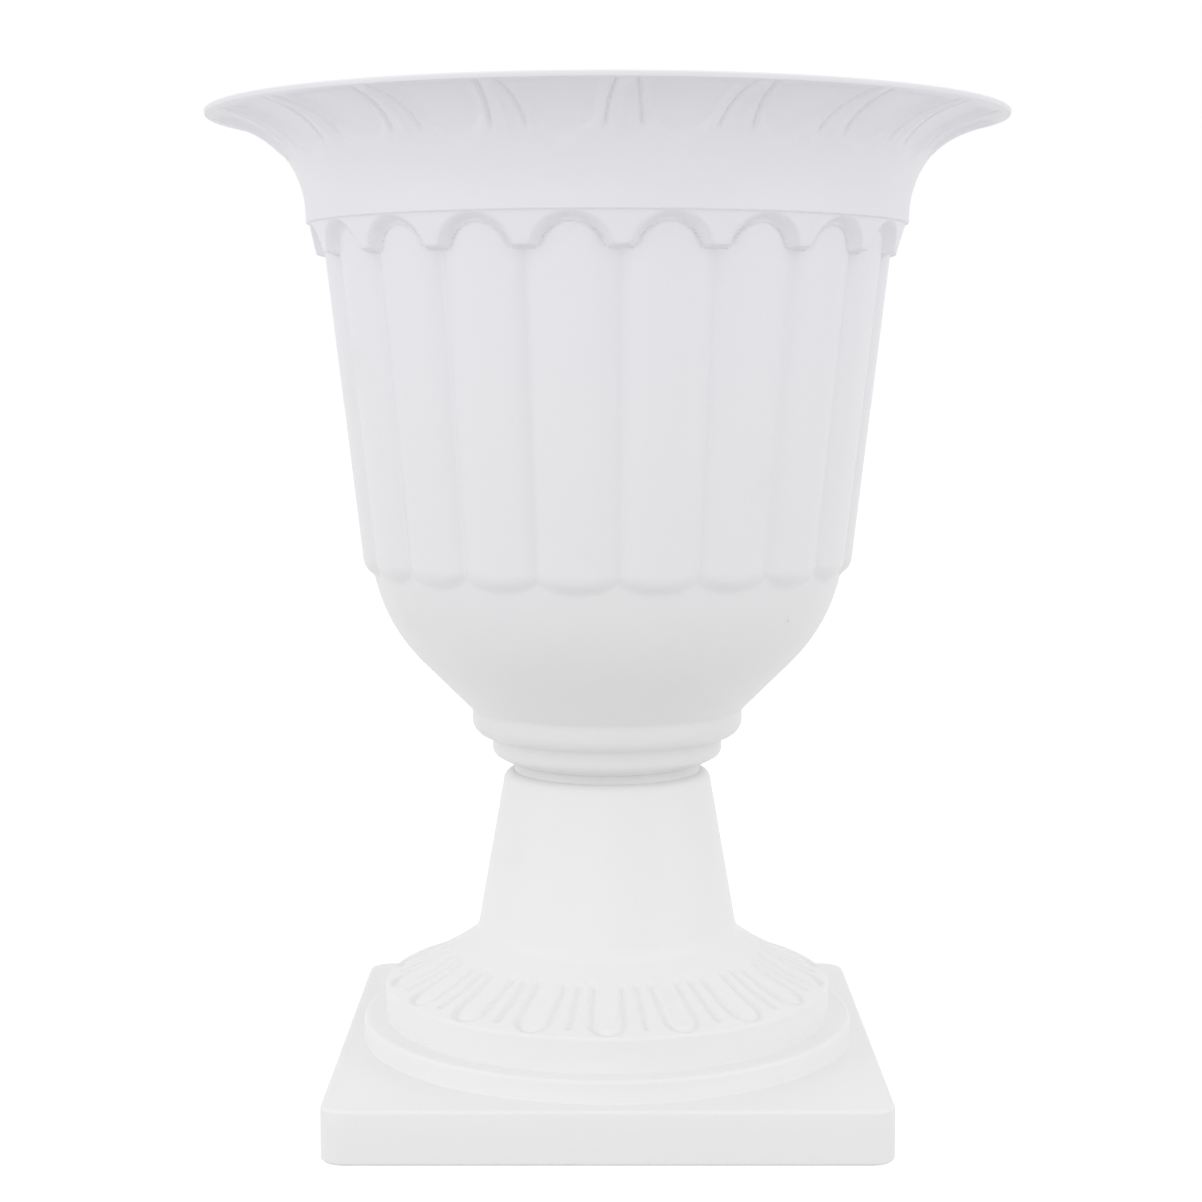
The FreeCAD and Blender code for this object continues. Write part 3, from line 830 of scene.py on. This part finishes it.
# ---- operators -----------------------------------------------------------------------------------
class URN_OT_bowl(bpy.types.Operator):
    """Build the bowl with its reeds, scalloped collar and ornamented flare."""
    bl_idname = "urn.bowl"
    bl_label = "Bowl"

    def execute(self, context):
        """Turns the profile, carves it and dresses it."""
        wants = context.scene.urn_bowl
        body, flare = bowl_profile(wants.reed_proud)
        sizes = {"Count": wants.reeds, "Turn": wants.turn, "Reed height": wants.reed_proud,
                 "Arch inner": wants.arch_inner, "Arch outer": wants.arch_outer,
                 "Egg depth": wants.egg_depth, "Dart depth": wants.dart_depth}
        # The bowl's plastic is painted darker towards the foot and lighter towards the rim: painted shade
        # and light.
        plastic = moulded_plastic("bowl_plastic", tuple(wants.colour), 0.42, tuple(wants.shaded_low_colour))
        parts = (("bowl_moulding", body, COLUMNS_PER_REED), ("bowl_flare", flare, FLARE_COLUMNS))
        for label, (rows, tags), columns in parts:
            mesh = mesh_from_rows(label, rows, wants.reeds * columns, tags=tags)
            piece = run_tree(link_object(label, mesh), bowl_tree(sizes), sizes, plastic)
            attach(piece, "bowl")
            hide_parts("bowl")
        under = ribs("bowl_foot_ribs", 6, 0.0, SPIGOT_RADIUS - 0.5 * MM, FOOT_RADIUS - BOWL_WALL / 2,
                     FOOT_TOP - BOWL_WALL, RING_TOP + 0.5 * MM, plastic)
        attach(under, "bowl")
        return {"FINISHED"}


class URN_OT_pedestal(bpy.types.Operator):
    """Build the pedestal with its cut skirt."""
    bl_idname = "urn.pedestal"
    bl_label = "Pedestal"

    def execute(self, context):
        """Turns the profile, cuts the skirt and dresses it."""
        wants = context.scene.urn_pedestal
        rows, square, tags = pedestal_profile()
        columns = wants.leaves * COLUMNS_PER_LEAF
        mesh = mesh_from_rows("pedestal_moulding", rows, columns, pedestal_reach(rows, square), tags)
        sizes = {"Count": wants.leaves, "Turn": 0.0, "Line width": wants.line_width,
                 "Line depth": wants.line_depth, "Leaf half width": wants.leaf_half_width}
        plastic = moulded_plastic("pedestal_plastic", tuple(wants.colour), 0.45)
        piece = run_tree(link_object("pedestal_moulding", mesh), leaf_tree(sizes), sizes, plastic)
        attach(piece, "pedestal")
        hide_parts("pedestal")
        return {"FINISHED"}


class URN_OT_plug(bpy.types.Operator):
    """Give the drain plug its plastic."""
    bl_idname = "urn.plug"
    bl_label = "Drain plug"

    def execute(self, context):
        """Dresses the carried-over plug."""
        plastic = moulded_plastic("plug_plastic", (0.80, 0.80, 0.80), 0.5)
        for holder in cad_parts["drain_plug"].material_slots:
            holder.material = plastic
        return {"FINISHED"}


class URN_OT_stage(bpy.types.Operator):
    """Set the floor, the lights and the camera."""
    bl_idname = "urn.stage"
    bl_label = "Stage"

    def execute(self, context):
        """Builds everything that isn't part of the urn."""
        wants = context.scene.urn_stage
        context.scene.view_settings.view_transform = "Standard"
        mesh = bpy.data.meshes.new("stage_floor")
        mesh.from_pydata([(-9, -9, 0), (9, -9, 0), (9, 9, 0), (-9, 9, 0)], [], [(0, 1, 2, 3)])
        mesh.materials.append(floor_material())
        link_object("stage_floor", mesh)
        white_world(wants.fill)
        area_light("overhead", (0.0, -0.15, 1.5), URN_MIDDLE, 1.4, 1.2, 1.3 * wants.overhead)
        area_light("left", (-1.3, -0.55, 0.55), URN_MIDDLE, 0.9, 1.2, 1.9 * wants.sides)
        area_light("right", (1.3, -0.55, 0.55), URN_MIDDLE, 0.9, 1.2, 1.9 * wants.sides)
        area_light("front", (-0.5, -1.6, 0.12), (0.0, 0.0, 0.18), 1.3, 0.5, 2.2 * wants.front)
        camera()
        return {"FINISHED"}


class URN_PT_panel(bpy.types.Panel):
    """Lists the urn's settings and steps."""
    bl_idname = "URN_PT_panel"
    bl_label = "Urn Planter"
    bl_space_type = "VIEW_3D"
    bl_region_type = "UI"
    bl_category = "Urn"

    def draw(self, context):
        """Draws each group of settings with its operator."""
        groups = ((context.scene.urn_bowl, URN_OT_bowl), (context.scene.urn_pedestal, URN_OT_pedestal),
                  (None, URN_OT_plug), (context.scene.urn_stage, URN_OT_stage))
        for wants, operator in groups:
            box = self.layout.box()
            for label in (wants.__annotations__ if wants else ()):
                box.prop(wants, label)
            box.operator(operator.bl_idname)


SETTINGS = {"urn_bowl": UrnBowlSettings, "urn_pedestal": UrnPedestalSettings,
            "urn_stage": UrnStageSettings}
OPERATORS = (URN_OT_bowl, URN_OT_pedestal, URN_OT_plug, URN_OT_stage)


def register():
    """Adds the settings, the operators and the panel."""
    for label, group in SETTINGS.items():
        bpy.utils.register_class(group)
        setattr(bpy.types.Scene, label, PointerProperty(type=group))
    for kind in OPERATORS + (URN_PT_panel,):
        bpy.utils.register_class(kind)


def unregister():
    """Takes them out again."""
    for kind in reversed(OPERATORS + (URN_PT_panel,)):
        bpy.utils.unregister_class(kind)
    for label, group in SETTINGS.items():
        delattr(bpy.types.Scene, label)
        bpy.utils.unregister_class(group)


def plain(box):
    """A box as plain lists of numbers."""
    return [[float(v) for v in corner] for corner in box]


def main():
    """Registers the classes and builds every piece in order."""
    register()
    bpy.ops.urn.bowl()
    bpy.ops.urn.pedestal()
    bpy.ops.urn.plug()
    bpy.ops.urn.stage()


if __name__ == "__main__":
    main()
